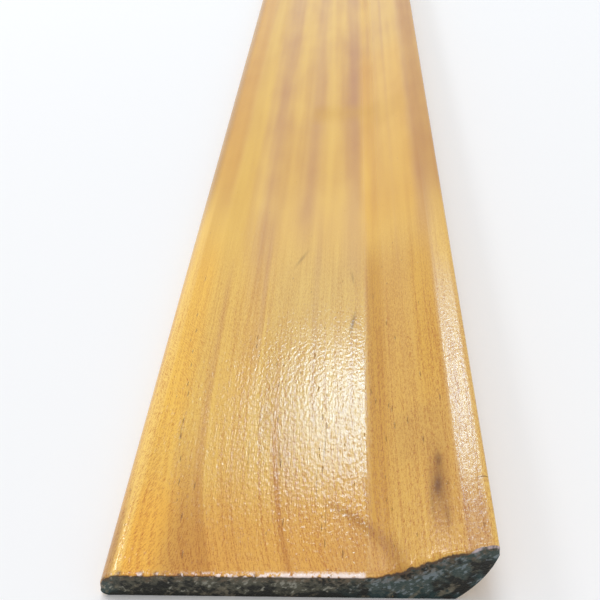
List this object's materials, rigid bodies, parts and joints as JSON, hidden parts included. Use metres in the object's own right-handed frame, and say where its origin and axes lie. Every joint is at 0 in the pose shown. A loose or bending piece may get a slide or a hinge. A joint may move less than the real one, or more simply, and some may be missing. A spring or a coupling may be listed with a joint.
{
  "type": "skirting board",
  "caption": "Long solid pine skirting board with a flat face, a thin rounded top edge and a coved slope up to a thick nose whose heel is backed off.",
  "frame": {"origin": "middle of the flat back, halfway along the board", "axes": "+X across the board from the thin top edge to the nose, +Y along the board, +Z through the thickness, from the back to the face"},
  "size_m": [0.07, 2.4, 0.015],
  "materials": {
    "varnished_pine": "gloss varnish over honey-coloured pine, with dark grey-green sealer on the sawn ends"
  },
  "bodies": {
    "root": {"skirting_board": "varnished_pine"}
  },
  "joints": []
}
